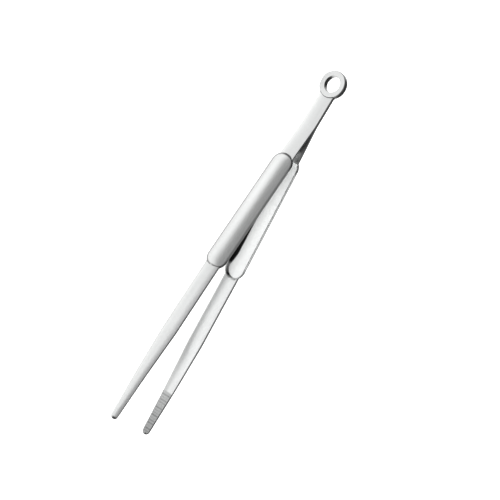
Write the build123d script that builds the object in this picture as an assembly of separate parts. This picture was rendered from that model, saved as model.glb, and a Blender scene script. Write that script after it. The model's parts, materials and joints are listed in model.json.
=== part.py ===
from build123d import *
import math
import os

# Long sprung tongs: two identical arms, each a flat spring leaf, a pocketed
# grip shell and a crowned, toothed jaw, welded below a common hanging ring.
# Millimetres. The tongs lie on their side: +X runs from the ring to the tips,
# the arms open along Y (front arm at -Y, rear arm at +Y), their width is along Z.
# The origin is below the middle of the tongs, where the lower side rests.

# ---- driving dimensions ----
OVERALL_LENGTH = 310.0
RING_OUTER_R = 10.95
RING_HOLE_R = 6.45
RING_THICKNESS = 4.5
RING_OUTER_ROUND = 0.9
RING_HOLE_ROUND = 0.5

LEAF_THICKNESS = 1.5
LEAF_WIDTH = 12.9
LEAF_BEND_RADIUS = 35.0
LEAF_LAP = 3.2  # how far the leaf reaches into the grip shell

GRIP_LENGTH = 103.3
GRIP_WIDTH = 18.0
GRIP_HEIGHT = 6.8
GRIP_LIP = 2.6  # wall below the arched top
GRIP_DRAFT = 10.0  # lean of that wall, degrees
GRIP_CORNER = 1.6
GRIP_WALL = 0.9
POCKET_DEPTH = 3.6  # hollow of the shell's inner side, at its middle
POCKET_LIP = 2.3
POCKET_CORNER = 0.5

JAW_WIDTH = 12.8
JAW_HEIGHT = 3.7
JAW_EDGE = 2.2
JAW_TIP_WIDTH = 6.0
JAW_TIP_HEIGHT = 2.9
JAW_TIP_EDGE = 1.5
JAW_COPE = 5.0  # length of the jaw's blank that is coped to the shell's round end
TAPER_START = 0.6  # share of the way from the grip to the jaw's bend
TIP_ROUND_R = 3.05
TROUGH_DEPTH = 1.25
TROUGH_RIM = 0.75
TROUGH_FADE_WIDTH = 0.62  # share of the full width where the trough runs out
TROUGH_FADE_DEPTH = 0.06

TOOTH_PITCH = 2.2
TOOTH_COUNT = 15
TOOTH_DEPTH = 0.35
TOOTH_LAND = 0.3
TOOTH_TIP_MARGIN = 1.9

FIT = 0.03  # clearance where a leaf or a jaw meets a grip shell

# Arm line, seen along Z: distance from the ring centre towards the tips, and
# distance of the arm's inner face from the middle plane.
CLOSED_END = 35.0  # the leaves lie against each other up to here
GRIP_TOP = 62.0
GRIP_TOP_GAP = 3.65
GRIP_END_GAP = 14.18
JAW_BEND = 258.0
JAW_BEND_GAP = 21.2
TIP_GAP = 22.95

# ---- derived places ----
TIP_END = OVERALL_LENGTH - RING_OUTER_R
MIDDLE = TIP_END - OVERALL_LENGTH / 2
GRIP_SLOPE = math.asin((GRIP_END_GAP - GRIP_TOP_GAP) / GRIP_LENGTH)
GRIP_END = GRIP_TOP + GRIP_LENGTH * math.cos(GRIP_SLOPE)
JAW_SLOPE = math.atan2(JAW_BEND_GAP - GRIP_END_GAP, JAW_BEND - GRIP_END)
TIP_SLOPE = math.atan2(TIP_GAP - JAW_BEND_GAP, TIP_END - JAW_BEND)
TAPER = GRIP_END + TAPER_START * (JAW_BEND - GRIP_END)
TAPER_GAP = GRIP_END_GAP + (TAPER - GRIP_END) * math.tan(JAW_SLOPE)

FAR = 60.0  # larger than any cross section


def arm_plane(along, gap, slope):
    """Cross-section plane on the inner face line: x = width, y = outward."""
    forward = (math.cos(slope), math.sin(slope), 0)
    return Plane(origin=(along, gap, 0), x_dir=(0, 0, -1), z_dir=forward)


def arm_frame(along, gap, slope):
    """Location on the inner face line: X along the arm, Y outward, Z width."""
    return Location((along, gap, 0), (0, 0, math.degrees(slope)))


def along_grip(distance):
    """Point of the inner face line at a distance from the grip's top end."""
    return (
        GRIP_TOP + distance * math.cos(GRIP_SLOPE),
        GRIP_TOP_GAP + distance * math.sin(GRIP_SLOPE),
    )


def hanging_ring():
    """Flat ring with rounded edges, its hole along Y."""
    ring = Cylinder(RING_OUTER_R, RING_THICKNESS)
    ring = fillet(ring.edges().filter_by(GeomType.CIRCLE), RING_OUTER_ROUND)
    ring -= Cylinder(RING_HOLE_R, RING_THICKNESS)
    round_edges = ring.edges().filter_by(GeomType.CIRCLE)
    hole_edges = [e for e in round_edges if abs(e.radius - RING_HOLE_R) < 0.001]
    ring = fillet(hole_edges, RING_HOLE_ROUND)
    return Rotation(90, 0, 0) * ring


def spring_leaf():
    """Flat strip from the ring's rim, bent outward, lapped into the grip shell."""
    half = LEAF_THICKNESS / 2
    bend_x, bend_gap = along_grip(-LEAF_LAP)
    end_x, end_gap = along_grip(LEAF_LAP)
    centre_line = FilletPolyline(
        (RING_HOLE_R, half),
        (CLOSED_END, half),
        (bend_x, bend_gap + half),
        (end_x, end_gap + half),
        radius=LEAF_BEND_RADIUS,
    )
    leaf = extrude(trace(centre_line, LEAF_THICKNESS), LEAF_WIDTH / 2, both=True)
    ring_space = Rotation(90, 0, 0) * Cylinder(RING_OUTER_R, FAR)
    return leaf - ring_space


def grip_form(radius, crown, lip, corner):
    """Crowned stadium on the rim plane: leaning lip all round, arched top, round ends."""
    shoulder = radius - lip * math.tan(math.radians(GRIP_DRAFT))
    rise = crown - lip
    arch_radius = (shoulder**2 + rise**2) / (2 * rise)
    arch_angle = math.degrees(math.asin(shoulder / arch_radius))
    with BuildSketch() as half_section:
        with BuildLine():
            Polyline((0, crown), (0, 0), (radius, 0), (shoulder, lip))
            CenterArc((0, crown - arch_radius), arch_radius, 90 - arch_angle, arch_angle)
        make_face()
        fillet(half_section.vertices().sort_by(Axis.X)[-2], corner)
    half = half_section.sketch
    first = GRIP_WIDTH / 2
    last = GRIP_LENGTH - GRIP_WIDTH / 2
    across = Plane(origin=(first, 0, 0), x_dir=(0, 0, -1), z_dir=(1, 0, 0))
    middle = extrude(across * (half + mirror(half, Plane.YZ)), last - first)
    end = revolve(half, Axis.Y)
    return Pos(first, 0, 0) * end + Pos(last, 0, 0) * end + middle


def grip_shell():
    """Arched grip with round ends, hollowed towards the other arm."""
    radius = GRIP_WIDTH / 2
    shell = grip_form(radius, GRIP_HEIGHT, GRIP_LIP, GRIP_CORNER)
    shell -= grip_form(radius - GRIP_WALL, POCKET_DEPTH, POCKET_LIP, POCKET_CORNER)
    leaf_space = Box(GRIP_WIDTH, LEAF_THICKNESS + 2 * FIT, LEAF_WIDTH + 2 * FIT)
    shell -= Pos(0, LEAF_THICKNESS / 2, 0) * leaf_space
    return arm_frame(GRIP_TOP, GRIP_TOP_GAP, GRIP_SLOPE) * shell


def jaw_section(plane, width, height, edge):
    """Crowned section: flat inner side, square edges, arched outer side."""
    half = width / 2
    with BuildSketch(plane) as section:
        with BuildLine():
            Polyline((-half, edge), (-half, 0), (half, 0), (half, edge))
            ThreePointArc((half, edge), (0, height), (-half, edge))
        make_face()
    return section.sketch


def jaw_body():
    """Solid jaw, before its trough and teeth: straight, then tapered to the tip."""
    start_x, start_gap = along_grip(GRIP_LENGTH - JAW_COPE)
    bend_share = (JAW_BEND - TAPER) / (TIP_END - TAPER)
    bend_width = JAW_WIDTH + (JAW_TIP_WIDTH - JAW_WIDTH) * bend_share
    bend_height = JAW_HEIGHT + (JAW_TIP_HEIGHT - JAW_HEIGHT) * bend_share
    bend_edge = JAW_EDGE + (JAW_TIP_EDGE - JAW_EDGE) * bend_share
    stations = [
        (start_x, start_gap, GRIP_SLOPE, JAW_WIDTH, JAW_HEIGHT, JAW_EDGE),
        (GRIP_END, GRIP_END_GAP, JAW_SLOPE, JAW_WIDTH, JAW_HEIGHT, JAW_EDGE),
        (TAPER, TAPER_GAP, JAW_SLOPE, JAW_WIDTH, JAW_HEIGHT, JAW_EDGE),
        (JAW_BEND, JAW_BEND_GAP, TIP_SLOPE, bend_width, bend_height, bend_edge),
        (TIP_END, TIP_GAP, TIP_SLOPE, JAW_TIP_WIDTH, JAW_TIP_HEIGHT, JAW_TIP_EDGE),
    ]
    sections = [
        jaw_section(arm_plane(x, gap, slope), width, height, edge)
        for x, gap, slope, width, height, edge in stations
    ]
    return loft(sections, ruled=True)


def trough_section(plane, width, depth):
    """Segment of a circle cut into the inner face."""
    half = width / 2
    with BuildSketch(plane) as section:
        with BuildLine():
            Polyline((half, 0), (half, -1), (-half, -1), (-half, 0))
            ThreePointArc((-half, 0), (0, depth), (half, 0))
        make_face()
    return section.sketch


def jaw_trough():
    """Hollow of the jaw's inner face, fading out before the toothed pad."""
    start_x, start_gap = along_grip(GRIP_LENGTH - 2 * JAW_COPE)
    full_width = JAW_WIDTH - 2 * TROUGH_RIM
    stations = [
        (start_x, start_gap, full_width, TROUGH_DEPTH),
        (TAPER, TAPER_GAP, full_width, TROUGH_DEPTH),
        (JAW_BEND, JAW_BEND_GAP, full_width * TROUGH_FADE_WIDTH, TROUGH_FADE_DEPTH),
    ]
    sections = [
        trough_section(arm_plane(x, gap, JAW_SLOPE), width, depth)
        for x, gap, width, depth in stations
    ]
    return loft(sections, ruled=True)


def tip_corners():
    """What is cut away to round the end of the tip."""
    block = Pos(-TIP_ROUND_R / 2, 0, 0) * Box(TIP_ROUND_R, FAR, FAR)
    rounding = Pos(-TIP_ROUND_R, 0, 0) * Rotation(90, 0, 0) * Cylinder(TIP_ROUND_R, 2 * FAR)
    return arm_frame(TIP_END, TIP_GAP, TIP_SLOPE) * (block - rounding)


def teeth():
    """V grooves across the inner face of the tip."""
    half = (TOOTH_PITCH - TOOTH_LAND) / 2
    groove = Polygon((-half, 0), (half, 0), (0, TOOTH_DEPTH), align=None)
    tool = extrude(groove, FAR, both=True)
    first = arm_frame(TIP_END, TIP_GAP, TIP_SLOPE) * Pos(-TOOTH_TIP_MARGIN, 0, 0)
    return [first * Pos(-TOOTH_PITCH * (i + 0.5), 0, 0) * tool for i in range(TOOTH_COUNT)]


def jaw():
    """Crowned jaw with a trough, a toothed pad and a round tip, coped to the shell's end."""
    shell_space = grip_form(GRIP_WIDTH / 2 + FIT, GRIP_HEIGHT + FIT, GRIP_LIP, GRIP_CORNER)
    shell_space = arm_frame(GRIP_TOP, GRIP_TOP_GAP, GRIP_SLOPE) * shell_space
    return jaw_body() - shell_space - jaw_trough() - tip_corners() - teeth()


def stand(shape):
    """From ring-centred to the part's own frame."""
    return Pos(-MIDDLE, 0, RING_OUTER_R) * shape


os.makedirs("parts", exist_ok=True)
export_step(stand(hanging_ring()), "parts/hanging_ring.step")
for name, shape in (("spring_leaf", spring_leaf()), ("grip_shell", grip_shell()), ("jaw", jaw())):
    export_step(stand(shape), "parts/rear_" + name + ".step")
    export_step(stand(mirror(shape, about=Plane.XZ)), "parts/front_" + name + ".step")
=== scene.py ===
import json
import math

import bmesh
import bpy
from mathutils import Matrix, Vector


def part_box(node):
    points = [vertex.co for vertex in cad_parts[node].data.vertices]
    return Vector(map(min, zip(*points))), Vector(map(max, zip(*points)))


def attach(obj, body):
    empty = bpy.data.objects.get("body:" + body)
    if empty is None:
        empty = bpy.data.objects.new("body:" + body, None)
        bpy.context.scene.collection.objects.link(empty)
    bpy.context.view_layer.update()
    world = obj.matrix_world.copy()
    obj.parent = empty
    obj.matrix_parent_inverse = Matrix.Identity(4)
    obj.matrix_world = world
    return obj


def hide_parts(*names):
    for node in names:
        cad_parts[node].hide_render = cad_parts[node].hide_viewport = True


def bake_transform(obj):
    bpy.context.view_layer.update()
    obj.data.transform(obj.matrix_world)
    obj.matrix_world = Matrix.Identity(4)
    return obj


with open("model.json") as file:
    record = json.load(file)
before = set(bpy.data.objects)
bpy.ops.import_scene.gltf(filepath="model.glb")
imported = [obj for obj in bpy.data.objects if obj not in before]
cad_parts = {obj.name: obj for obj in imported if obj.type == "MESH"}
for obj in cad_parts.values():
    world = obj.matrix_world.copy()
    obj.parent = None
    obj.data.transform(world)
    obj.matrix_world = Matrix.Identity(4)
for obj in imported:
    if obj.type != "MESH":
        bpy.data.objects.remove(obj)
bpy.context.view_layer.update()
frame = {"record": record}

# Metres. The tongs lie on their side: +X from the ring to the tips, arms opening along Y.
# Places along the tongs, u, count from the ring's centre; widths from the middle of an arm's
# width, towards +Z; gaps from the middle plane between the arms; heights from an arm's inner face.
# The top end of a piece is the one nearer to the ring, its upper side the one at +Z.
MM = 0.001

# ---------------------------------------------------------------- sizes
# As in the CAD model, where the frame's boxes don't give them on their own
RING_OUTER_ROUND = 0.9 * MM
RING_HOLE_ROUND = 0.5 * MM
LEAF_THICKNESS = 1.5 * MM
LEAF_LAP = 3.2 * MM
CLOSED_END = 35.0 * MM
LEAF_BEND_RADIUS = 35.0 * MM
GRIP_LENGTH = 103.3 * MM
GRIP_LIP = 2.6 * MM
GRIP_DRAFT = math.radians(10.0)
GRIP_HEIGHT = 6.8 * MM
GRIP_CORNER = 1.6 * MM
GRIP_WALL = 0.9 * MM
POCKET_DEPTH = 3.6 * MM
POCKET_LIP = 2.3 * MM
POCKET_CORNER = 0.5 * MM
GRIP_TOP = 62.0 * MM
GRIP_TOP_GAP = 3.65 * MM
GRIP_END_GAP = 14.18 * MM
JAW_HEIGHT = 3.7 * MM
JAW_EDGE = 2.2 * MM
JAW_TIP_WIDTH = 6.0 * MM
JAW_TIP_HEIGHT = 2.9 * MM
JAW_TIP_EDGE = 1.5 * MM
JAW_BEND = 258.0 * MM
JAW_BEND_GAP = 21.2 * MM
TIP_GAP = 22.95 * MM
TAPER_START = 0.6
TIP_ROUND = 3.05 * MM
TROUGH_DEPTH = 1.25 * MM
TROUGH_RIM = 0.75 * MM
TOOTH_PITCH = 2.2 * MM
TOOTH_COUNT = 15
TOOTH_DEPTH = 0.35 * MM
TOOTH_LAND = 0.3 * MM
TOOTH_TIP_MARGIN = 1.9 * MM
FIT = 0.03 * MM

# Details of the visible meshes
WELD_SINK = 0.15 * MM  # how far a leaf runs into the ring, and a jaw into its shell's end wall
LEAF_EDGE_ROUND = 0.3 * MM
LEAF_FLARE = 0.09  # share by which a leaf widens at its weld to the ring
LEAF_FLARE_LENGTH = 1.6 * MM
JAW_EDGE_ROUND = 0.22 * MM
JAW_START = 1.0 * MM  # the jaw's full sections start this far past the grip
TIP_HEIGHT_SHARE = 0.62  # of the tip's height and edge, at the very end of its rounding
TIP_EDGE_SHARE = 0.75
JAW_BEND_REACH = 5.0 * MM  # half the length over which the jaw's bend is spread
TROUGH_END = JAW_BEND + 1.0 * MM
TROUGH_FADE = 46.0 * MM
INNER_FACE = 0.9 * MM  # the jaw's inner face and grooves lie below this height

ring_low, ring_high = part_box("hanging_ring")
leaf_low, leaf_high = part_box("rear_spring_leaf")
grip_low, grip_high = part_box("rear_grip_shell")
jaw_low, jaw_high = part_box("rear_jaw")

RING_R = (ring_high.z - ring_low.z) / 2
RING_CENTRE = (ring_low + ring_high) / 2
RING_THICKNESS = ring_high.y - ring_low.y
RING_HOLE_R = frame["record"]["mounts"][0]["dims"]["r_mm"] * MM
LEAF_WIDTH = leaf_high.z - leaf_low.z
GRIP_WIDTH = grip_high.z - grip_low.z
JAW_WIDTH = jaw_high.z - jaw_low.z
MID_Z = RING_CENTRE.z
TIP_END = jaw_high.x - RING_CENTRE.x

GRIP_SLOPE = math.asin((GRIP_END_GAP - GRIP_TOP_GAP) / GRIP_LENGTH)
GRIP_END = GRIP_TOP + GRIP_LENGTH * math.cos(GRIP_SLOPE)
JAW_SLOPE = math.atan2(JAW_BEND_GAP - GRIP_END_GAP, JAW_BEND - GRIP_END)
TIP_SLOPE = math.atan2(TIP_GAP - JAW_BEND_GAP, TIP_END - JAW_BEND)
TAPER = GRIP_END + TAPER_START * (JAW_BEND - GRIP_END)

# ---------------------------------------------------------------- darker and brighter zones
# Painted shade, the dark weld line and cut edges, and painted highlight run from 0 to 1. A zone's edge is
# spread over what is called its fade.
# Ring
RING_SEAM_TARNISH = 0.9  # weld line round the leaves
# painted shade on the ring's side walls and on parts of its edges
RING_WALL_SHADE = 0.4
RING_EDGE_SHADE = 0.6
UPPER_EDGE = math.radians(125)  # the part of the ring's outer edge with painted shade, from +X towards +Z
HOLE_EDGE = math.radians(-65)  # and of its hole's edge
EDGE_SPREAD = 2.5  # how narrow that part is
EDGE_CUTOFF = 0.5
# Leaves
EDGE_TARNISH = 0.5  # cut edges
LEAF_INNER_SHADE = 0.95  # painted dark reflection on the inner side, between the ring and the grips
LEAF_INNER_SHADE_START = 42.0 * MM
LEAF_INNER_SHADE_START_FADE = 6.0 * MM
LEAF_INNER_SHADE_END = 58.0 * MM
LEAF_INNER_SHADE_END_FADE = 3.0 * MM
LEAF_INNER_SHADE_WIDTH = 4.5 * MM
# spot of painted dark reflection on the inner side
LEAF_SPOT = (62.7 * MM, 4.6 * MM)  # along the leaf and across it
LEAF_SPOT_SIZE = 1.5 * MM
LEAF_SPOT_SHADE = 0.65
LEAF_HIGHLIGHT = 0.5  # painted highlight along the lower edge of the outer side
LEAF_HIGHLIGHT_WIDTH = 2.9 * MM
# Grips' outer side
TOP_END_SHADE = 0.85  # painted shade on the end walls
TOP_END_SHADE_HEIGHT = 4.0 * MM
TOP_LOWER_SHARE = 0.3  # share of it left on the lower side of the top end
LOWER_END_SHADE = 0.7
LOWER_END_SHADE_HEIGHT = 4.3 * MM
END_LOWER_LIMIT = -0.15  # cosine of the angle where the painted shade at the lower end runs out
END_LOWER_FADE = 0.5
END_SHADE_FADE = 3.0 * MM  # from the round ends along the straight sides
END_SHADE_DROP = 0.75  # share by which the height of the end shade falls towards the sides
ZONE_FADE = 0.8 * MM  # upper edge of the darker zones
LOW_SIDE_SHADE = 0.6  # painted shade along the lower flank
LOW_SIDE_HEIGHT = 5.0 * MM
UPPER_WALL_HIGHLIGHT = 1.0  # painted highlight on the upper wall of the rear grip
UPPER_WALL_LIMIT = 0.5  # cosine of the angle where it ends
# Grips' pockets
POCKET_WALL_SHADE = 1.0  # painted shade on the upright walls and the corner below them
POCKET_END_SHARE = 0.5  # share of it left at the round ends
POCKET_FLOOR_SHADE = {-1: 2.4 * MM, 1: 1.0 * MM}  # how far painted shade spreads over the pocket's floor from the wall, lower and upper side
POCKET_FLOOR_SHADE_FADE = 17.0 * MM  # how it thins out towards the ends
POCKET_FLOOR_SHADE_AT_END = 0.3  # how much of that spread is left there
FLOOR_SHADE_EDGE = 0.7 * MM  # softness of the edge of that painted shade
CRESCENT = 0.68 * math.pi  # crescent of painted shade at the pocket's lower end, angle from the upper side
CRESCENT_SPREAD = 0.13 * math.pi
POCKET_HIGHLIGHT_LOSS = 0.5  # painted highlight on the pocket's floor, the share lost from the top end, where the floor is brightest, to the lower one
# Jaws
# painted shade on the toothed pad, and more of it in the grooves
PAD_SHADE = 0.41
PAD_TIP_SHADE = 0.12  # more of it towards the tip
PAD_START = 1.2 * MM  # how far the pad's painted shade reaches above the first groove
GROOVE_SHADE = 0.24
GROOVE_SHADE_SPREAD = (0.6, 0.4)  # mean share of the groove shade, and how much that varies
GROOVE_SHADE_STEP = 2.3  # radians from groove to groove
# spot of painted shade at the round tip's end
TIP_SHADE = 0.9
TIP_SPOT_LENGTH = 2.8 * MM
TIP_SPOT_FADE = 1.5 * MM
TIP_SPOT_LIMIT = -0.4  # share of the half width where the spot starts
TIP_SPOT_BLEND = 0.6
JAW_OUTER_SHADE = 0.13  # painted shade along the outer side
JAW_OUTER_SHADE_BAND = (-0.1, 0.45)  # its middle and spread, as shares of the half width
JAW_INNER_SHADE = 0.3  # painted shade on the lower half of the inner side, where the trough runs out
JAW_INNER_SHADE_BAND = (-0.6, 0.5)
JAW_INNER_SHADE_START = 200.0 * MM
JAW_INNER_SHADE_FADE = 40.0 * MM

ROOT = "ring_and_leaves"
SIDES = {"front": -1, "rear": 1}


# ---------------------------------------------------------------- camera
CAMERA_ELEVATION = math.radians(33.5)
CAMERA_DISTANCE = 2.8
VIEW_WIDTH = 0.3755  # width of the picture at the tongs
AXIS_TURN = math.radians(120.98)  # turn of the picture's right side from the tongs' length
AIM_ALONG = 0.1385  # middle of the picture, from the ring's centre towards the tips
AIM_ACROSS = 0.0100
SENSOR_WIDTH = 36.0  # millimetres, as Blender counts it


def make_camera():
    """Long lens, looking down on the front arm, with the tongs slanting across the picture."""
    back = Vector((0, -math.cos(CAMERA_ELEVATION), math.sin(CAMERA_ELEVATION)))
    across = Vector((0, math.sin(CAMERA_ELEVATION), math.cos(CAMERA_ELEVATION)))
    along = Vector((1, 0, 0))
    right = along * math.cos(AXIS_TURN) + across * math.sin(AXIS_TURN)
    up = back.cross(right)
    aim = Vector((RING_CENTRE.x, 0, MID_Z)) + along * AIM_ALONG + across * AIM_ACROSS
    data = bpy.data.cameras.new("camera")
    data.sensor_width = SENSOR_WIDTH
    data.lens = SENSOR_WIDTH * CAMERA_DISTANCE / VIEW_WIDTH
    data.clip_start = 0.1
    data.clip_end = 100.0
    camera = bpy.data.objects.new("camera", data)
    bpy.context.scene.collection.objects.link(camera)
    turn = Matrix((right, up, back)).transposed()
    camera.matrix_world = Matrix.Translation(aim + back * CAMERA_DISTANCE) @ turn.to_4x4()
    bpy.context.scene.camera = camera


# ---------------------------------------------------------------- helpers
MERGE_DISTANCE = 0.0005 * MM


def new_object(name, verts, faces, material, tarnish_and_painted_shade, painted_highlight=None, smooth_angle=40.0):
    """Smooth-shaded piece, sharp at edges steeper than smooth_angle degrees."""
    mesh = bpy.data.meshes.new(name)
    mesh.from_pydata(verts, [], faces)
    # painted shade with the dark weld line and cut edges, and painted highlight, kept per point
    for label, values in (("tarnish_and_painted_shade", tarnish_and_painted_shade), ("painted_highlight", painted_highlight)):
        layer = mesh.attributes.new(label, "FLOAT", "POINT")
        layer.data.foreach_set("value", values or [0.0] * len(verts))
    shape = bmesh.new()
    shape.from_mesh(mesh)
    bmesh.ops.remove_doubles(shape, verts=shape.verts, dist=MERGE_DISTANCE)
    bmesh.ops.dissolve_degenerate(shape, edges=shape.edges, dist=MERGE_DISTANCE)
    bmesh.ops.recalc_face_normals(shape, faces=shape.faces)
    for face in shape.faces:
        face.smooth = True
    sharp = math.radians(smooth_angle)
    for edge in shape.edges:
        edge.smooth = len(edge.link_faces) != 2 or edge.calc_face_angle(0.0) < sharp
    shape.to_mesh(mesh)
    shape.free()
    piece = bpy.data.objects.new(name, mesh)
    bpy.context.scene.collection.objects.link(piece)
    mesh.materials.append(material)
    return piece


def arc_points(centre, radius, start, stop, count):
    """Points on a circle from angle start to stop, both included."""
    return [
        (
            centre[0] + radius * math.cos(start + (stop - start) * i / count),
            centre[1] + radius * math.sin(start + (stop - start) * i / count),
        )
        for i in range(count + 1)
    ]


def tube_faces(rings, around):
    """Quads between successive loops of the same number of points, and both end faces."""
    faces = []
    for i in range(rings - 1):
        for j in range(around):
            k = (j + 1) % around
            faces.append((i * around + j, i * around + k, (i + 1) * around + k, (i + 1) * around + j))
    faces.append(tuple(range(around)))
    faces.append(tuple((rings - 1) * around + j for j in reversed(range(around))))
    return faces


def to_world(u, gap, width, side):
    """From along, distance from the middle plane and width to the frame."""
    return Vector((RING_CENTRE.x + u, side * gap, MID_Z + width))


def smoothstep(t):
    """0 below 0, 1 above 1, and smooth between them."""
    t = max(0.0, min(1.0, t))
    return t * t * (3 - 2 * t)


def bell(distance):
    """1 at 0, falling off smoothly on both sides."""
    return math.exp(-(distance**2))


# ---------------------------------------------------------------- materials
STEEL_TINT = (0.988, 1.0, 0.995)
FINE_GRAIN = (60, 5200, 5200)  # noise scale along X, Y and Z
BROAD_GRAIN = (14, 90, 90)
GRAIN_RANGE = (0.3, 0.7)  # the part of the noise that counts
GRAIN_TINT = (0.93, 1.04)  # brightness at both ends of that range
GRAIN_HEIGHT = 0.02 * MM
ROUGHNESS_SPREAD = (0.82, 1.18)
SHADE_AND_HIGHLIGHT_TARGETS = (("painted_highlight", 0.95), ("tarnish_and_painted_shade", 0.012))  # what full painted highlight, and full painted shade and darkening, bring the steel to


def brushed_steel(name, brightness, roughness, grain):
    """Stainless steel with fine grain along its length, drawn from the piece's own coordinates."""
    colour = [brightness * part for part in STEEL_TINT]
    material = bpy.data.materials.new(name)
    material.use_nodes = True
    nodes, links = material.node_tree.nodes, material.node_tree.links
    shader = nodes["Principled BSDF"]
    shader.inputs["Metallic"].default_value = 1.0
    place = nodes.new("ShaderNodeTexCoord")

    def streaks(scale, detail, seed):
        stretch = nodes.new("ShaderNodeMapping")
        stretch.inputs["Scale"].default_value = scale
        stretch.inputs["Location"].default_value = (seed, seed, seed)
        noise = nodes.new("ShaderNodeTexNoise")
        noise.inputs["Scale"].default_value = 1.0
        noise.inputs["Detail"].default_value = detail
        noise.inputs["Roughness"].default_value = 0.6
        links.new(place.outputs["Object"], stretch.inputs["Vector"])
        links.new(stretch.outputs["Vector"], noise.inputs["Vector"])
        return noise.outputs["Fac"]

    fine = streaks(FINE_GRAIN, detail=3.0, seed=1.7)
    broad = streaks(BROAD_GRAIN, detail=2.0, seed=4.1)

    tint = nodes.new("ShaderNodeValToRGB")
    for stop, position, share in zip(tint.color_ramp.elements, GRAIN_RANGE, GRAIN_TINT):
        stop.position = position
        stop.color = (*[part * share for part in colour], 1)
    links.new(fine, tint.inputs["Fac"])
    colour_with_painted_light = tint.outputs["Color"]
    # mix in the painted highlight, then the painted shade with the dark weld line and cut edges
    for label, target in SHADE_AND_HIGHLIGHT_TARGETS:
        amount = nodes.new("ShaderNodeAttribute")
        amount.attribute_name = label
        change = nodes.new("ShaderNodeMix")
        change.data_type = "RGBA"
        change.inputs["B"].default_value = (*[target * part for part in STEEL_TINT], 1)
        links.new(amount.outputs["Fac"], change.inputs["Factor"])
        links.new(colour_with_painted_light, change.inputs["A"])
        colour_with_painted_light = change.outputs["Result"]
    links.new(colour_with_painted_light, shader.inputs["Base Color"])

    rough = nodes.new("ShaderNodeMapRange")
    rough.inputs["From Min"].default_value, rough.inputs["From Max"].default_value = GRAIN_RANGE
    rough.inputs["To Min"].default_value = roughness * ROUGHNESS_SPREAD[0]
    rough.inputs["To Max"].default_value = roughness * ROUGHNESS_SPREAD[1]
    # the mean of the fine and the broad grain
    both = nodes.new("ShaderNodeMath")
    both.operation = "MULTIPLY_ADD"
    both.inputs[1].default_value = 0.5
    links.new(fine, both.inputs[0])
    half = nodes.new("ShaderNodeMath")
    half.operation = "MULTIPLY"
    half.inputs[1].default_value = 0.5
    links.new(broad, half.inputs[0])
    links.new(half.outputs[0], both.inputs[2])
    links.new(both.outputs[0], rough.inputs["Value"])
    links.new(rough.outputs["Result"], shader.inputs["Roughness"])

    bump = nodes.new("ShaderNodeBump")
    bump.inputs["Strength"].default_value = grain
    bump.inputs["Distance"].default_value = GRAIN_HEIGHT
    links.new(fine, bump.inputs["Height"])
    links.new(bump.outputs["Normal"], shader.inputs["Normal"])
    return material


# ---------------------------------------------------------------- ring
def ring_profile():
    """Closed section of the ring's rim: (distance from its axis, y)."""
    half = RING_THICKNESS / 2
    quarter = math.pi / 2
    outer_r = RING_R - RING_OUTER_ROUND
    hole_r = RING_HOLE_R + RING_HOLE_ROUND
    outer_y = half - RING_OUTER_ROUND
    hole_y = half - RING_HOLE_ROUND
    profile = arc_points((outer_r, outer_y), RING_OUTER_ROUND, 0, quarter, 8)
    profile += arc_points((hole_r, hole_y), RING_HOLE_ROUND, quarter, 2 * quarter, 6)
    profile += arc_points((hole_r, -hole_y), RING_HOLE_ROUND, 2 * quarter, 3 * quarter, 6)
    profile += arc_points((outer_r, -outer_y), RING_OUTER_ROUND, 3 * quarter, 4 * quarter, 8)
    return profile


def ring_weld_and_painted_shade(radius, y, angle):
    """Painted shade on the walls and on stretches of both edges, and a dark weld line at the leaves."""
    outer_edge = radius > RING_R - 0.5 * RING_OUTER_ROUND
    hole_edge = radius < RING_HOLE_R + 0.6 * RING_HOLE_ROUND
    at_leaf = abs(math.sin(angle)) < LEAF_WIDTH / 2 / RING_R and math.cos(angle) > 0
    if at_leaf and outer_edge:
        return RING_SEAM_TARNISH
    dark = RING_WALL_SHADE * smoothstep((RING_THICKNESS / 2 - abs(y)) / RING_OUTER_ROUND)
    if outer_edge or hole_edge:
        away = angle - (UPPER_EDGE if outer_edge else HOLE_EDGE)
        dark = max(dark, RING_EDGE_SHADE * smoothstep(EDGE_SPREAD * math.cos(away) - EDGE_CUTOFF))
    return dark


def make_ring(material):
    """Flat ring: rounded outer edges, smaller rounding at the hole."""
    profile = ring_profile()
    around = len(profile)
    turns = 160
    verts = []
    tarnish_and_painted_shade = []
    for i in range(turns):
        angle = 2 * math.pi * i / turns
        for radius, y in profile:
            verts.append(RING_CENTRE + Vector((radius * math.cos(angle), y, radius * math.sin(angle))))
            tarnish_and_painted_shade.append(ring_weld_and_painted_shade(radius, y, angle))
    faces = []
    for i in range(turns):
        n = (i + 1) % turns
        for j in range(around):
            k = (j + 1) % around
            faces.append((i * around + j, i * around + k, n * around + k, n * around + j))
    ring = new_object("ring", verts, faces, material, tarnish_and_painted_shade)
    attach(ring, ROOT)
    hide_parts("hanging_ring")


# ---------------------------------------------------------------- spring leaves
def leaf_line(u):
    """Distance of the leaf's inner face from the middle plane, and its slope."""
    bend = GRIP_TOP - LEAF_LAP * math.cos(GRIP_SLOPE)
    bend_gap = GRIP_TOP_GAP - LEAF_LAP * math.sin(GRIP_SLOPE)
    slope = bend_gap / (bend - CLOSED_END)
    reach = LEAF_BEND_RADIUS * math.tan(math.atan(slope) / 2)
    if u <= CLOSED_END - reach:
        return 0.0, 0.0
    if u < CLOSED_END + reach:
        part = (u - CLOSED_END + reach) / (2 * reach)
        return slope * reach * part * part, slope * part
    if u <= bend:
        return (u - CLOSED_END) * slope, slope
    grip = math.tan(GRIP_SLOPE)
    return bend_gap + (u - bend) * grip, grip


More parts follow.
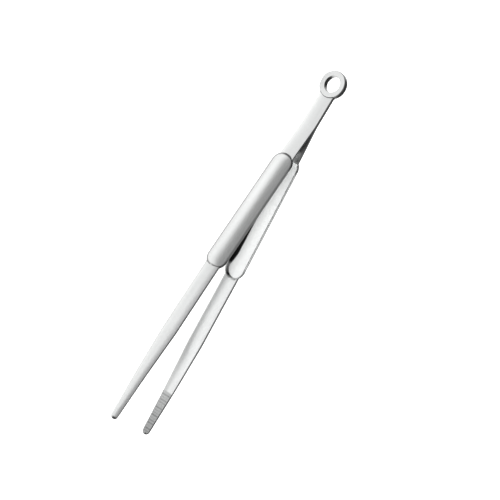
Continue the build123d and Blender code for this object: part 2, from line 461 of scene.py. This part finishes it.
def leaf_section():
    """Closed section of the leaf with softened edges: (width, height)."""
    corner_x = LEAF_WIDTH / 2 - LEAF_EDGE_ROUND
    corner_y = LEAF_THICKNESS - LEAF_EDGE_ROUND
    quarter = math.pi / 2
    columns = 16
    section = []
    for centre, start in (
        ((corner_x, corner_y), 0),
        ((-corner_x, corner_y), quarter),
        ((-corner_x, LEAF_EDGE_ROUND), 2 * quarter),
        ((corner_x, LEAF_EDGE_ROUND), 3 * quarter),
    ):
        corner = arc_points(centre, LEAF_EDGE_ROUND, start, start + quarter, 4)
        section += corner
        if start in (0, 2 * quarter):
            from_x, y = corner[-1]
            to_x = -corner_x if start == 0 else corner_x
            section += [(from_x + (to_x - from_x) * i / columns, y) for i in range(1, columns)]
    return section


def leaf_edges_and_painted_light(u, width, height):
    """Darkening and painted highlight of a leaf: dark cut edges, painted dark reflection on the inner
    side, painted highlight on the outer side.
    """
    half = LEAF_WIDTH / 2
    painted_highlight = LEAF_HIGHLIGHT * math.exp(-(width + half) / LEAF_HIGHLIGHT_WIDTH) if height > LEAF_EDGE_ROUND else 0.0
    if abs(width) > half - 0.5 * LEAF_EDGE_ROUND:
        return EDGE_TARNISH, painted_highlight
    if height >= LEAF_EDGE_ROUND:
        return 0.0, painted_highlight
    shade = LEAF_INNER_SHADE * smoothstep((half - width) / LEAF_INNER_SHADE_WIDTH)
    shade *= smoothstep((u - LEAF_INNER_SHADE_START) / LEAF_INNER_SHADE_START_FADE)
    shade *= smoothstep((LEAF_INNER_SHADE_END - u) / LEAF_INNER_SHADE_END_FADE)
    spot = bell(math.hypot(u - LEAF_SPOT[0], width - LEAF_SPOT[1]) / LEAF_SPOT_SIZE)
    return max(shade, LEAF_SPOT_SHADE * spot), painted_highlight


def make_leaf(name, side, material):
    """Sheet strip with softened edges, coped to the ring's rim at its top."""
    stations = 150
    section = leaf_section()
    last = GRIP_TOP + LEAF_LAP * math.cos(GRIP_SLOPE)
    verts = []
    tarnish_and_painted_shade = []
    painted_highlight = []
    for i in range(stations + 1):
        for width, height in section:
            cope = math.sqrt(RING_R**2 - width**2) - WELD_SINK
            u = cope + (last - cope) * i / stations
            dark, bright = leaf_edges_and_painted_light(u, width, height)
            tarnish_and_painted_shade.append(dark)
            painted_highlight.append(bright)
            near_ring = max(0.0, 1 - (u - cope) / LEAF_FLARE_LENGTH)
            flare = 1 + LEAF_FLARE * near_ring**2
            gap, slope = leaf_line(u)
            tilt = math.atan(slope)
            verts.append(
                to_world(u - height * math.sin(tilt), gap + height * math.cos(tilt), width * flare, side)
            )
    faces = tube_faces(stations + 1, len(section))
    leaf = new_object(name, verts, faces, material, tarnish_and_painted_shade, painted_highlight)
    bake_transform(leaf)
    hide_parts(name.replace("_leaf", "_spring_leaf"))


# ---------------------------------------------------------------- grip shells
def grip_profile(radius, crown, lip, corner):
    """Half section from the rim up the wall to the crown: (distance from the middle, height)."""
    shoulder = radius - lip * math.tan(GRIP_DRAFT)
    rise = crown - lip
    arch = (shoulder**2 + rise**2) / (2 * rise)
    arch_centre = crown - arch
    # the corner circle touches the leaning wall and the arch from inside
    low, high = 0.0, crown
    for _ in range(60):
        middle = (low + high) / 2
        across = radius - middle * math.tan(GRIP_DRAFT) - corner / math.cos(GRIP_DRAFT)
        if math.hypot(across, middle - arch_centre) < arch - corner:
            low = middle
        else:
            high = middle
    start = math.atan2(middle - arch_centre, across)
    wall_top = (across + corner * math.cos(GRIP_DRAFT), middle + corner * math.sin(GRIP_DRAFT))
    points = []
    for i in range(4):
        points.append((radius + (wall_top[0] - radius) * i / 4, wall_top[1] * i / 4))
    points += arc_points((across, middle), corner, GRIP_DRAFT, start, 8)
    points += arc_points((0, arch_centre), arch, start, math.pi / 2, 26)[1:]
    return points


def outer_profile():
    """Section of the grip's outer side."""
    return grip_profile(GRIP_WIDTH / 2, GRIP_HEIGHT, GRIP_LIP, GRIP_CORNER)


def pocket_profile():
    """Section of the pocket in its inner side."""
    return grip_profile(GRIP_WIDTH / 2 - GRIP_WALL, POCKET_DEPTH, POCKET_LIP, POCKET_CORNER)


def stadium_stations():
    """Directions round the grip: (centre along the grip, angle from +width towards the end)."""
    turns = 40
    steps = 60
    first, last = GRIP_WIDTH / 2, GRIP_LENGTH - GRIP_WIDTH / 2
    stations = []
    for i in range(steps):
        stations.append((first + (last - first) * i / steps, 0.0))
    for i in range(turns):
        stations.append((last, math.pi * i / turns))
    for i in range(steps):
        stations.append((last + (first - last) * i / steps, math.pi))
    for i in range(turns):
        stations.append((first, math.pi + math.pi * i / turns))
    return stations


def end_cut(along, width):
    """Height below which the top end wall is cut away for the leaf."""
    if along < GRIP_WIDTH / 2 and abs(width) <= LEAF_WIDTH / 2 + FIT:
        return LEAF_THICKNESS + FIT
    return 0.0


def crown_height(width, half, edge, height):
    """Height of the jaw's outer face at a distance from its middle."""
    rise = height - edge
    radius = (half**2 + rise**2) / (2 * rise)
    return height - radius + math.sqrt(max(0.0, radius**2 - min(width, half) ** 2))


def profile_at(profile, height):
    """Distance from the middle where the profile reaches a height."""
    for (x0, h0), (x1, h1) in zip(profile, profile[1:]):
        if h0 <= height <= h1:
            return x0 + (x1 - x0) * (height - h0) / max(h1 - h0, 1e-9)
    return profile[-1][0]


def pocket_painted_light(centre, angle, reach, height):
    """Painted shade and highlight inside the grip: shade on the walls and spreading along them onto the
    floor, a highlight on the floor.
    """
    straight = min(centre, GRIP_LENGTH - centre) - GRIP_WIDTH / 2
    end = smoothstep(1 - straight / END_SHADE_FADE)
    spread = 1.0
    if height >= POCKET_LIP:
        shade = POCKET_FLOOR_SHADE[1 if math.cos(angle) > 0 else -1]
        shade *= smoothstep(POCKET_FLOOR_SHADE_AT_END + straight / POCKET_FLOOR_SHADE_FADE)
        from_wall = GRIP_WIDTH / 2 - GRIP_WALL - POCKET_LIP * math.tan(GRIP_DRAFT) - reach
        spread = smoothstep((shade - from_wall) / FLOOR_SHADE_EDGE + 0.5)
    crescent = bell((angle - CRESCENT) / CRESCENT_SPREAD)
    dark = POCKET_WALL_SHADE * spread * (1 - (1 - POCKET_END_SHARE) * end * (1 - crescent))
    bright = 1 - POCKET_HIGHLIGHT_LOSS * smoothstep(centre / GRIP_LENGTH)
    return dark, bright


def outside_painted_light(centre, angle, height, side):
    """Painted shade and highlight outside the grip: shade at both round ends and along the lower flank, a
    highlight on the rear grip's upper wall.
    """
    straight = min(centre, GRIP_LENGTH - centre) - GRIP_WIDTH / 2
    upward = math.cos(angle)
    at_top = centre < GRIP_LENGTH / 2
    shade_height = TOP_END_SHADE_HEIGHT if at_top else LOWER_END_SHADE_HEIGHT
    shade_height = shade_height * (1 - END_SHADE_DROP * upward**2) + ZONE_FADE
    dark = TOP_END_SHADE if at_top else LOWER_END_SHADE
    dark *= smoothstep(1 - straight / END_SHADE_FADE) * smoothstep((shade_height - height) / ZONE_FADE)
    if not at_top:
        dark *= smoothstep((upward - END_LOWER_LIMIT) / END_LOWER_FADE)
    elif upward < 0:
        dark *= 1 - (1 - TOP_LOWER_SHARE) * smoothstep(-upward)
    if upward < 0:
        flank = smoothstep((LOW_SIDE_HEIGHT - height) / ZONE_FADE)
        dark = max(dark, LOW_SIDE_SHADE * flank)
    upper_wall = upward > UPPER_WALL_LIMIT and height < GRIP_LIP + GRIP_CORNER
    bright = UPPER_WALL_HIGHLIGHT if upper_wall and side == SIDES["rear"] else 0.0
    return dark, bright


def make_grip(name, side, material):
    """Arched grip with a shallow pocket in its inner side and a flat rim round it."""
    outer, inner = outer_profile(), pocket_profile()
    loop = list(reversed(inner)) + outer
    stations = stadium_stations()
    verts = []
    tarnish_and_painted_shade = []
    painted_highlight = []
    for centre, angle in stations:
        for j, (reach, height) in enumerate(loop):
            if j < len(inner):
                profile = inner
                dark, bright = pocket_painted_light(centre, angle, reach, height)
            else:
                profile = outer
                dark, bright = outside_painted_light(centre, angle, height, side)
            tarnish_and_painted_shade.append(dark)
            painted_highlight.append(bright)
            along = centre + reach * math.sin(angle)
            width = reach * math.cos(angle)
            cut = end_cut(along, width)
            if height < cut:
                height = cut
                reach = profile_at(profile, cut)
                along = centre + reach * math.sin(angle)
                width = reach * math.cos(angle)
            u = GRIP_TOP + along * math.cos(GRIP_SLOPE) - height * math.sin(GRIP_SLOPE)
            gap = GRIP_TOP_GAP + along * math.sin(GRIP_SLOPE) + height * math.cos(GRIP_SLOPE)
            verts.append(to_world(u, gap, width, side))
    around = len(loop)
    faces = []
    for i in range(len(stations)):
        n = (i + 1) % len(stations)
        for j in range(around - 1):
            faces.append((i * around + j, i * around + j + 1, n * around + j + 1, n * around + j))
    grip = new_object(name, verts, faces, material, tarnish_and_painted_shade, painted_highlight)
    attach(grip, name.split("_")[0] + "_arm")
    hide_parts(name.replace("_grip", "_grip_shell"))


# ---------------------------------------------------------------- jaws
def jaw_line(u):
    """Distance of the jaw's inner face from the middle plane, and its slope."""
    at_grip, at_jaw, at_tip = math.tan(GRIP_SLOPE), math.tan(JAW_SLOPE), math.tan(TIP_SLOPE)
    if u < GRIP_END:
        return GRIP_END_GAP + (u - GRIP_END) * at_grip, at_grip
    if u < JAW_BEND - JAW_BEND_REACH:
        return GRIP_END_GAP + (u - GRIP_END) * at_jaw, at_jaw
    if u < JAW_BEND + JAW_BEND_REACH:
        length = 2 * JAW_BEND_REACH
        part = (u - JAW_BEND + JAW_BEND_REACH) / length
        change = at_tip - at_jaw
        gap = JAW_BEND_GAP - JAW_BEND_REACH * at_jaw + length * (at_jaw * part + change * part**2 / 2)
        return gap, at_jaw + change * part
    return JAW_BEND_GAP + (u - JAW_BEND) * at_tip, at_tip


def jaw_size(u):
    """Half width, height and edge of the jaw at a place along it."""
    share = max(0.0, (u - TAPER) / (TIP_END - TAPER))
    half = (JAW_WIDTH + (JAW_TIP_WIDTH - JAW_WIDTH) * share) / 2
    height = JAW_HEIGHT + (JAW_TIP_HEIGHT - JAW_HEIGHT) * share
    edge = JAW_EDGE + (JAW_TIP_EDGE - JAW_EDGE) * share
    left = TIP_END - u
    if left < TIP_ROUND:
        # the end is round in plan, and a little thinner
        round_share = math.sqrt(max(0.0, 1 - (1 - left / TIP_ROUND) ** 2))
        half = TIP_ROUND * max(round_share, 0.02)
        height *= TIP_HEIGHT_SHARE + (1 - TIP_HEIGHT_SHARE) * round_share
        edge *= TIP_EDGE_SHARE + (1 - TIP_EDGE_SHARE) * round_share
    return half, height, edge


def trough_depth(u):
    """Depth of the hollow at the jaw's middle, fading out before the teeth."""
    return TROUGH_DEPTH * smoothstep((TROUGH_END - u) / TROUGH_FADE)


def tooth_cut(u):
    """Depth of the pressed grooves at a place along the tip."""
    from_tip = TIP_END - TOOTH_TIP_MARGIN - u
    if not 0 < from_tip < TOOTH_COUNT * TOOTH_PITCH:
        return 0.0
    place = from_tip % TOOTH_PITCH
    from_middle = abs(place - TOOTH_PITCH / 2)
    half = (TOOTH_PITCH - TOOTH_LAND) / 2
    return TOOTH_DEPTH * max(0.0, 1 - from_middle / half)


def jaw_stations():
    """Places along the jaw, closer together over the teeth and the round tip."""
    start = GRIP_END + JAW_START
    teeth_start = TIP_END - TOOTH_TIP_MARGIN - TOOTH_COUNT * TOOTH_PITCH
    teeth_end = TIP_END - TOOTH_TIP_MARGIN
    plain = 90
    per_tooth = 10
    places = [start + (teeth_start - start) * i / plain for i in range(plain)]
    count = TOOTH_COUNT * per_tooth
    places += [teeth_start + (teeth_end - teeth_start) * i / count for i in range(count)]
    tip = 14
    places += [teeth_end + (TIP_END - teeth_end) * math.sin(math.pi / 2 * i / tip) for i in range(tip + 1)]
    return places


def shell_end(width, height):
    """How far along the tongs the shell's round lower end reaches, at a width and height."""
    reach = profile_at(outer_profile(), height)
    across = min(abs(width), reach * 0.999)
    return GRIP_END - GRIP_WIDTH / 2 + math.sqrt(reach**2 - across**2)


def jaw_loop(u):
    """Closed cross-section at a place: crown, square softened edges, hollow or toothed inner face."""
    half, height, edge = jaw_size(u)
    soft = min(JAW_EDGE_ROUND, half * 0.3)
    crown_steps = 28
    points = []
    for i in range(crown_steps + 1):
        angle = math.pi * i / crown_steps
        width = half * math.cos(angle)
        points.append((width, crown_height(abs(width), half, edge, max(height, edge + 0.01 * MM))))
    # soften the outer corner
    points[0] = (half, points[0][1] - soft)
    points[-1] = (-half, points[-1][1] - soft)
    cut = tooth_cut(u)
    points.append((-half, cut + soft))
    depth = trough_depth(u)
    rim = max(half - TROUGH_RIM, half * 0.5)
    inner_steps = 24
    for i in range(inner_steps + 1):
        width = -(half - soft) + 2 * (half - soft) * i / inner_steps
        dip = depth * max(0.0, 1 - (width / rim) ** 2)
        points.append((width, cut + dip))
    points.append((half, cut + soft))
    return points


def jaw_painted_shade(u, width, height):
    """Painted shade on the outer side, where the trough ends, on the toothed pad, and as a dark spot at
    the tip.
    """
    share = width / jaw_size(u)[0]
    pad = TOOTH_COUNT * TOOTH_PITCH
    from_tip = TIP_END - TOOTH_TIP_MARGIN - u
    dark = 0.0
    if height > JAW_TIP_EDGE:
        middle, spread = JAW_OUTER_SHADE_BAND
        dark = JAW_OUTER_SHADE * bell((share - middle) / spread)
    elif height < INNER_FACE:
        middle, spread = JAW_INNER_SHADE_BAND
        dark = JAW_INNER_SHADE * bell((share - middle) / spread)
        dark *= smoothstep((u - JAW_INNER_SHADE_START) / JAW_INNER_SHADE_FADE)
        if from_tip < pad + PAD_START:
            mean, change = GROOVE_SHADE_SPREAD
            groove_share = mean + change * math.sin(GROOVE_SHADE_STEP * math.floor(from_tip / TOOTH_PITCH))
            toothed = PAD_SHADE + PAD_TIP_SHADE * smoothstep(1 - from_tip / pad)
            toothed += GROOVE_SHADE * groove_share * tooth_cut(u) / TOOTH_DEPTH
            dark = max(dark, toothed)
    spot = smoothstep((u - TIP_END + TIP_SPOT_LENGTH) / TIP_SPOT_FADE)
    spot *= smoothstep((width / TIP_ROUND - TIP_SPOT_LIMIT) / TIP_SPOT_BLEND)
    return max(dark, TIP_SHADE * spot)


def make_jaw(name, side, material):
    """Half-round jaw: crowned outside, trough inside, toothed tip."""
    places = jaw_stations()
    start_loop = jaw_loop(places[0])
    cope_steps = 6
    points = []
    for i in range(cope_steps):
        for width, height in start_loop:
            cope = shell_end(width, height) - WELD_SINK
            points.append((cope + (places[0] - cope) * i / cope_steps, width, height))
    for u in places:
        points += [(u, width, height) for width, height in jaw_loop(u)]
    verts = []
    for u, width, height in points:
        gap, slope = jaw_line(u)
        tilt = math.atan(slope)
        verts.append(to_world(u - height * math.sin(tilt), gap + height * math.cos(tilt), width, side))
    tarnish_and_painted_shade = [jaw_painted_shade(*point) for point in points]
    faces = tube_faces(len(places) + cope_steps, len(start_loop))
    jaw = new_object(name, verts, faces, material, tarnish_and_painted_shade, smooth_angle=28.0)
    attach(jaw, name.split("_")[0] + "_arm")
    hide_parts(name)


# ---------------------------------------------------------------- studio
FLOOR_REACH = 6.0
FLOOR_GLOW = 0.85  # keeps the paper as pale as a lit backdrop
PANEL_SIZE = 1.2
PANEL_HEIGHT = 1.2
PANEL_POWER = 10.0


def make_floor():
    """Pale paper, large enough for a low view."""
    corners = [(x * FLOOR_REACH, y * FLOOR_REACH, 0) for x, y in ((-1, -1), (1, -1), (1, 1), (-1, 1))]
    mesh = bpy.data.meshes.new("floor")
    mesh.from_pydata(corners, [], [(0, 1, 2, 3)])
    floor = bpy.data.objects.new("floor", mesh)
    bpy.context.scene.collection.objects.link(floor)
    material = bpy.data.materials.new("floor_paper")
    material.use_nodes = True
    shader = material.node_tree.nodes["Principled BSDF"]
    shader.inputs["Base Color"].default_value = (0.9, 0.9, 0.9, 1)
    shader.inputs["Roughness"].default_value = 1.0
    shader.inputs["Specular IOR Level"].default_value = 0.0
    shader.inputs["Emission Color"].default_value = (1, 1, 1, 1)
    shader.inputs["Emission Strength"].default_value = FLOOR_GLOW
    mesh.materials.append(material)


# Brightness of the surroundings, from the back (0) over the top (0.5) to the front (1)
SURROUNDINGS = ((0.0, 1.20), (0.04, 0.07), (0.20, 0.07), (0.33, 0.47), (1.0, 0.47))


def make_world():
    """Grey surroundings, dark behind but for a bright patch straight behind."""
    world = bpy.data.worlds.new("studio")
    bpy.context.scene.world = world
    world.use_nodes = True
    nodes, links = world.node_tree.nodes, world.node_tree.links
    place = nodes.new("ShaderNodeTexCoord")
    split = nodes.new("ShaderNodeSeparateXYZ")
    links.new(place.outputs["Generated"], split.inputs["Vector"])
    shift = nodes.new("ShaderNodeMapRange")
    shift.inputs["From Min"].default_value = 1.0
    shift.inputs["From Max"].default_value = -1.0
    links.new(split.outputs["Y"], shift.inputs["Value"])
    ramp = nodes.new("ShaderNodeValToRGB")
    stops = ramp.color_ramp.elements
    while len(stops) < len(SURROUNDINGS):
        stops.new(0.5)
    for stop, (position, value) in zip(stops, SURROUNDINGS):
        stop.position = position
        stop.color = (value, value, value, 1)
    links.new(shift.outputs["Result"], ramp.inputs["Fac"])
    links.new(ramp.outputs["Color"], nodes["Background"].inputs["Color"])
    nodes["Background"].inputs["Strength"].default_value = 1.0


def make_lights():
    """Large soft panel overhead; it lights the paper and is kept out of the steel's reflections."""
    data = bpy.data.lights.new("overhead", "AREA")
    data.size = PANEL_SIZE
    data.energy = PANEL_POWER
    panel = bpy.data.objects.new("overhead", data)
    bpy.context.scene.collection.objects.link(panel)
    panel.location = (0, 0, PANEL_HEIGHT)
    panel.visible_glossy = False


make_camera()
ring_steel = brushed_steel("ring_steel", brightness=0.50, roughness=0.34, grain=0.25)
leaf_steel = brushed_steel("leaf_steel", brightness=0.475, roughness=0.40, grain=0.3)
grip_steel = brushed_steel("grip_steel", brightness=0.61, roughness=0.48, grain=0.2)
jaw_steel = brushed_steel("jaw_steel", brightness=0.62, roughness=0.48, grain=0.3)
make_ring(ring_steel)
for arm, side in SIDES.items():
    make_leaf(arm + "_leaf", side, leaf_steel)
    make_grip(arm + "_grip", side, grip_steel)
    make_jaw(arm + "_jaw", side, jaw_steel)
make_floor()
make_world()
make_lights()
bpy.context.scene.view_settings.view_transform = "Standard"
